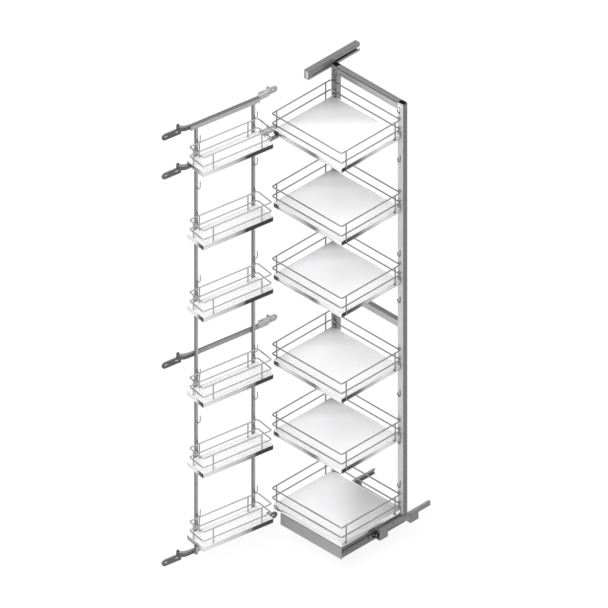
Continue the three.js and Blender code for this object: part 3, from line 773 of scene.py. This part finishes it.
TRAYS = range(1, 7)
LAMINATES = {1: LOWEST_LAMINATE, 6: TOP_LAMINATE}
SHELF_TRIMS = {
    1: LOWEST_SHELF_TRIM,
    2: LOWER_SHELF_TRIM,
    3: LOWER_SHELF_TRIM,
    4: UPPER_SHELF_TRIM,
    5: UPPER_SHELF_TRIM,
    6: HIGHEST_SHELF_TRIM,
}
for tray in TRAYS:
    laminate = LAMINATES.get(tray, TRAY_LAMINATE)
    tray_trim = LOWEST_TRIM if tray == 1 else TRAY_TRIM
    board_and_edge(f"deep_tray_{tray}", "pull_out", IDENTITY, laminate, tray_trim, TRAY_DROP)
    shelf_look = (SHELF_LAMINATE, SHELF_TRIMS[tray], SHELF_DROP)
    board_and_edge(f"door_shelf_{tray}", "door_frame", DOOR, *shelf_look)
    deep_rail(tray)
    shelf_rail(tray)

bevelled("frame_middle_bar", "pull_out", "frame_paint", BAR_COAT)
grooved_top_bar()
for name in DOOR_UPRIGHTS:
    look = (DOOR_UPRIGHT_COAT, 1.2 * MM, DOOR)
    bevelled(f"door_upright_{name}", "door_frame", "frame_paint", *look)
dress("frame_upright_left", LEFT_UPRIGHT, 1.0 * MM)
dress("frame_upright_right", RIGHT_UPRIGHT, 1.0 * MM)
for side, material in CAPS.items():
    dress(f"upright_cap_{side}", material, 0.4 * MM)
dress("carriage", CARRIAGE_COAT, 0.5 * MM)
dress("top_guide_rail", GUIDE_COAT, 0.6 * MM)
dress("top_guide_slider", ZINC, 0.5 * MM)
for side in ("left", "right"):
    dress(f"runner_channel_{side}", RUNNER_COAT, 0.5 * MM)
    dress(f"runner_middle_{side}", DARK_ZINC, 0.3 * MM)
    dress(f"runner_slide_{side}", DARK_ZINC, 0.5 * MM)
for tie in ("floor_tie_front", "floor_tie_rear"):
    dress(tie, ZINC, 0.4 * MM)
for roller in ("top_guide_roller_front", "top_guide_roller_rear"):
    dress(roller, PLASTIC, 0.4 * MM)
# The crossbars are one paint; the top one's lighter copy is painted light
CROSSBAR_COATS = {3: LINK_CROSSBAR_COAT, 4: TOP_CROSSBAR_COAT}
for bar in range(1, 5):
    dress(f"door_crossbar_{bar}", CROSSBAR_COATS.get(bar, CROSSBAR_COAT), 1.0 * MM)
    # Painted light: hinge-side plates take the lit copy of the paint, bar 1's takes the shaded one
    lit_or_shaded_coat = FIXING_COAT if bar == 1 else LIT_FIXING_COAT
    dress(f"door_plate_{bar}_hinge_side", lit_or_shaded_coat, 0.7 * MM)
    dress(f"door_plate_{bar}_free_side", FIXING_COAT, 0.7 * MM)
dress("link_arm", LINK_COAT, 0.5 * MM)
dress("link_pin", ZINC, 0.4 * MM)


# ---------------------------------------------------------------- small fittings

HOOK_WIRE = 1.4 * MM
HOOK_RADIUS = 6 * MM
HOOK_SHANK = 27 * MM
HOOK_TIP = 12 * MM
HOOK_TIP_OUT = 6.5 * MM
HOOK_STEPS = 5
TRAY_HOOK_X = 150 * MM
SHELF_HOOK_BACK = 1 * MM
TRAY_HOOKS = (0.152, 0.332, 0.524, 0.906, 1.096, 1.481, 1.679)  # heights
SHELF_HOOKS = (0.123, 0.505, 0.697, 1.079, 1.461, 1.650)


def add_hook(bm, x, y, z, side):
    """A J-shaped hook that lies against a face at y and opens upwards."""
    shank = x + side * HOOK_RADIUS
    points = [(shank, y, z + HOOK_SHANK), (shank, y, z + HOOK_RADIUS)]
    for k in range(1, HOOK_STEPS + 1):
        turn = math.pi * k / HOOK_STEPS
        across = side * HOOK_RADIUS * math.cos(turn)
        points.append((x + across, y, z + HOOK_RADIUS - HOOK_RADIUS * math.sin(turn)))
    points.append((x - side * HOOK_TIP_OUT, y, z + HOOK_TIP))
    add_tube(bm, points, HOOK_WIRE, FINE_SIDES)


def upright_hooks():
    """The spare hooks down the uprights of both frames."""
    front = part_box("frame_upright_right")[0].y - HOOK_WIRE
    for side, name in ((1, "right"), (-1, "left")):
        bm = bmesh.new()
        for z in TRAY_HOOKS:
            add_hook(bm, side * TRAY_HOOK_X, front, z, side)
        hooks = finish_mesh(f"upright_hooks_{name}", bm, DARK_ZINC)
        place_piece(hooks, "pull_out", "zinc_steel")
    for name in DOOR_UPRIGHTS:
        low, high = local_box(f"door_upright_{name}", DOOR)
        bm = bmesh.new()
        for z in SHELF_HOOKS:
            add_hook(bm, low.x - SHELF_HOOK_BACK, high.y + HOOK_WIRE, z, -1)
        hooks = finish_mesh(f"door_upright_hooks_{name}", bm, DARK_ZINC, DOOR)
        place_piece(hooks, "door_frame", "zinc_steel")


PLATE_X = 153 * MM
PLATE_HALF = 7 * MM
PLATE_THICK = 1.2 * MM
PLATE_SUNK = 0.2 * MM
PLATE_TOP = 8 * MM  # below the cap's top, as are PLATE_FOOT and PLATE_HOLES
PLATE_FOOT = 46 * MM
PLATE_HOLES = (18 * MM, 38 * MM)
HOLE_SIZE = (2.6 * MM, 0.6 * MM, 24)  # radius, length and sides
HOLE_FRONT = 1.3 * MM


def hole_plates():
    """Plate with two fixing holes on each tray upright, just below its cap; black discs paint the
    shade inside the holes.
    """
    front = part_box("frame_upright_right")[0].y
    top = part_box("upright_cap_right")[1].z
    for side, name in ((1, "right"), (-1, "left")):
        bm = bmesh.new()
        x = side * PLATE_X
        plate_low = (x - PLATE_HALF, front - PLATE_THICK, top - PLATE_FOOT)
        plate_high = (x + PLATE_HALF, front + PLATE_SUNK, top - PLATE_TOP)
        add_box(bm, plate_low, plate_high, BAND_BEVEL)
        plate = finish_mesh(f"hole_plate_{name}", bm, PALE_COAT if side > 0 else LEFT_UPRIGHT)
        place_piece(plate, "pull_out", "frame_paint")
        bm = bmesh.new()
        # Painted shade: black discs where the plate has holes
        for hole in PLATE_HOLES:
            centre = (x, front - HOLE_FRONT, top - hole)
            add_cylinder(bm, centre, (0, 1, 0), *HOLE_SIZE)
        hole_shades = finish_mesh(f"hole_plate_holes_{name}", bm, PLASTIC)
        place_piece(hole_shades, "pull_out", "black_plastic")


LATCH_FRONT = -6 * MM
LATCH_REAR = 26 * MM
LATCH_LOW = 24 * MM
LATCH_HIGH = 44 * MM
LATCH_OUTLINE = [  # Y and Z
    (LATCH_FRONT + 6 * MM, LATCH_LOW),
    (LATCH_REAR, LATCH_LOW),
    (LATCH_REAR, LATCH_HIGH),
    (LATCH_FRONT + 3 * MM, LATCH_HIGH),
    (LATCH_FRONT, LATCH_HIGH - 5 * MM),
]
LATCH_NEAR = -1.8 * MM  # from the runner's wall, as are LATCH_FAR, PIN_OUT and HOLE_DISC_OUT
LATCH_FAR = 1.2 * MM
LATCH_BEVEL = 0.5 * MM
LATCH_PINS = ((-1 * MM, 38 * MM), (11 * MM, 31 * MM), (22 * MM, 38 * MM))  # Y and Z
PIN_OUT = 1.4 * MM
PIN_SIZE = (1.7 * MM, 1.0 * MM, 20, 0.3 * MM)  # radius, length, sides and bevel
RUNNER_WALL = 2 * MM
RUNNER_HOLE = (94 * MM, 36.8 * MM)  # Y and Z
HOLE_DISC_OUT = 0.2 * MM
HOLE_DISC_SIZE = (2.4 * MM, 0.8 * MM, 24, 0.2 * MM)


def runner_latch():
    """Black latch with its pins on the front end of the right runner, and a black disc that paints
    the shade in the runner's hole.
    """
    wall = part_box("runner_channel_right")[1].x - RUNNER_WALL
    bm = bmesh.new()
    sides = (wall + LATCH_NEAR, wall + LATCH_FAR)
    skin(bm, [[bm.verts.new((x, y, z)) for y, z in LATCH_OUTLINE] for x in sides])
    bmesh.ops.bevel(bm, geom=list(bm.edges), offset=LATCH_BEVEL, segments=2, affect="EDGES")
    latch = finish_mesh("runner_latch", bm, PLASTIC)
    place_piece(latch, "cabinet_fixings", "black_plastic")
    bm = bmesh.new()
    for y, z in LATCH_PINS:
        add_cylinder(bm, (wall + PIN_OUT, y, z), (1, 0, 0), *PIN_SIZE)
    pins = finish_mesh("runner_latch_pins", bm, PALE_COAT)
    place_piece(pins, "cabinet_fixings", "zinc_steel")
    # Painted shade: a black disc where the runner has a hole
    bm = bmesh.new()
    y, z = RUNNER_HOLE
    add_cylinder(bm, (wall + HOLE_DISC_OUT, y, z), (1, 0, 0), *HOLE_DISC_SIZE)
    hole_disc = finish_mesh("runner_hole_shade", bm, PLASTIC)
    place_piece(hole_disc, "cabinet_fixings", "zinc_steel")


STRIP_SIDES = (9 * MM, 1 * MM)
STRIP_OUT = 0.6 * MM
STRIP_IN = 1 * MM
STRIP_MARGIN = 2 * MM
STRIP_BEVEL = 0.4 * MM


def guide_end_cap_highlight():
    """Pale strip down the outer corner at the front end of the guide rail: an end cap that also
    paints the highlight on the rail's rounded end.
    """
    low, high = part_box("top_guide_rail")
    far, near = STRIP_SIDES
    bm = bmesh.new()
    strip_low = (high.x - far, low.y - STRIP_OUT, low.z + STRIP_MARGIN)
    strip_high = (high.x - near, low.y + STRIP_IN, high.z - STRIP_MARGIN)
    add_box(bm, strip_low, strip_high, STRIP_BEVEL)
    cap = finish_mesh("guide_end_cap_highlight", bm, END_CAP_HIGHLIGHT_COAT)
    place_piece(cap, "cabinet_fixings", "frame_paint")


upright_hooks()
hole_plates()
runner_latch()
guide_end_cap_highlight()


# ---------------------------------------------------------------- stage, light and camera

FLOOR_GAP = 2 * MM
FLOOR_SIZE = 40.0
FLOOR_PALE = 0.8  # what the object is lit by
FLOOR_FAINT = 0.12  # what shows its shadow to the camera, under a glow
FLOOR_GLOW = 0.9
WORLD_LIGHT = 0.45


def mix_by(tree, factor, first, second):
    """Mix of two shaders: the first at 0, the second at 1."""
    mix = tree.nodes.new("ShaderNodeMixShader")
    tree.links.new(factor, mix.inputs[0])
    tree.links.new(first, mix.inputs[1])
    tree.links.new(second, mix.inputs[2])
    return mix.outputs[0]


def background_rays(tree):
    """1 for a ray that should see white: one from the camera, or off gloss or through glass."""
    path = tree.nodes.new("ShaderNodeLightPath")
    total = path.outputs["Is Camera Ray"]
    for name in ("Is Glossy Ray", "Is Transmission Ray"):
        largest = tree.nodes.new("ShaderNodeMath")
        largest.operation = "MAXIMUM"
        tree.links.new(total, largest.inputs[0])
        tree.links.new(path.outputs[name], largest.inputs[1])
        total = largest.outputs[0]
    return total


def make_floor():
    """White floor that keeps the object's shadow."""
    low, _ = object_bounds()
    bm = bmesh.new()
    half = FLOOR_SIZE / 2
    z = low.z - FLOOR_GAP
    corners = [(-half, -half, z), (half, -half, z), (half, half, z), (-half, half, z)]
    bm.faces.new([bm.verts.new(c) for c in corners])
    material = bpy.data.materials.new("floor_white")
    material.use_nodes = True
    tree = material.node_tree
    output = tree.nodes["Material Output"]
    tree.nodes.remove(tree.nodes["Principled BSDF"])
    pale = tree.nodes.new("ShaderNodeBsdfDiffuse")
    pale.inputs["Color"].default_value = (FLOOR_PALE, FLOOR_PALE, FLOOR_PALE, 1)
    faint = tree.nodes.new("ShaderNodeBsdfDiffuse")
    faint.inputs["Color"].default_value = (FLOOR_FAINT, FLOOR_FAINT, FLOOR_FAINT, 1)
    glow = tree.nodes.new("ShaderNodeEmission")
    glow.inputs["Strength"].default_value = FLOOR_GLOW
    both = tree.nodes.new("ShaderNodeAddShader")
    tree.links.new(faint.outputs[0], both.inputs[0])
    tree.links.new(glow.outputs[0], both.inputs[1])
    mixed = mix_by(tree, background_rays(tree), pale.outputs[0], both.outputs[0])
    tree.links.new(mixed, output.inputs["Surface"])
    finish_mesh("floor", bm, material)


def make_world():
    """Even light from all round, in front of a white background."""
    world = bpy.data.worlds.new("studio")
    bpy.context.scene.world = world
    world.use_nodes = True
    tree = world.node_tree
    soft = tree.nodes["Background"]
    soft.inputs["Color"].default_value = (1, 1, 1, 1)
    soft.inputs["Strength"].default_value = WORLD_LIGHT
    white = tree.nodes.new("ShaderNodeBackground")
    white.inputs["Color"].default_value = (1, 1, 1, 1)
    white.inputs["Strength"].default_value = 1.0
    mixed = mix_by(tree, background_rays(tree), soft.outputs[0], white.outputs[0])
    tree.links.new(mixed, tree.nodes["World Output"].inputs["Surface"])


def add_sun(name, towards, strength, softness):
    """Sun that shines towards a direction, as wide as softness in degrees."""
    lamp = bpy.data.lights.new(name, "SUN")
    lamp.energy = strength
    lamp.angle = math.radians(softness)
    made = bpy.data.objects.new(name, lamp)
    made.rotation_mode = "QUATERNION"
    made.rotation_quaternion = Vector(towards).to_track_quat("-Z", "Y")
    bpy.context.scene.collection.objects.link(made)


def make_camera():
    """Isometric camera, from the front right and above."""
    back = Vector(
        (
            math.sin(AZIMUTH) * math.cos(ELEVATION),
            -math.cos(AZIMUTH) * math.cos(ELEVATION),
            math.sin(ELEVATION),
        )
    )
    data = bpy.data.cameras.new("camera")
    data.type = "ORTHO"
    data.ortho_scale = VIEW_WIDTH
    data.clip_end = 100
    camera = bpy.data.objects.new("camera", data)
    camera.location = VIEW_CENTRE + back * CAMERA_DISTANCE
    camera.rotation_mode = "QUATERNION"
    camera.rotation_quaternion = (-back).to_track_quat("-Z", "Y")
    bpy.context.scene.collection.objects.link(camera)
    bpy.context.scene.camera = camera


make_floor()
make_world()
add_sun("key", (0.05, 1.0, -1.2), strength=2.0, softness=60)
add_sun("top", (0.0, 0.1, -1.0), strength=1.0, softness=90)
make_camera()
bpy.context.scene.view_settings.view_transform = "Standard"
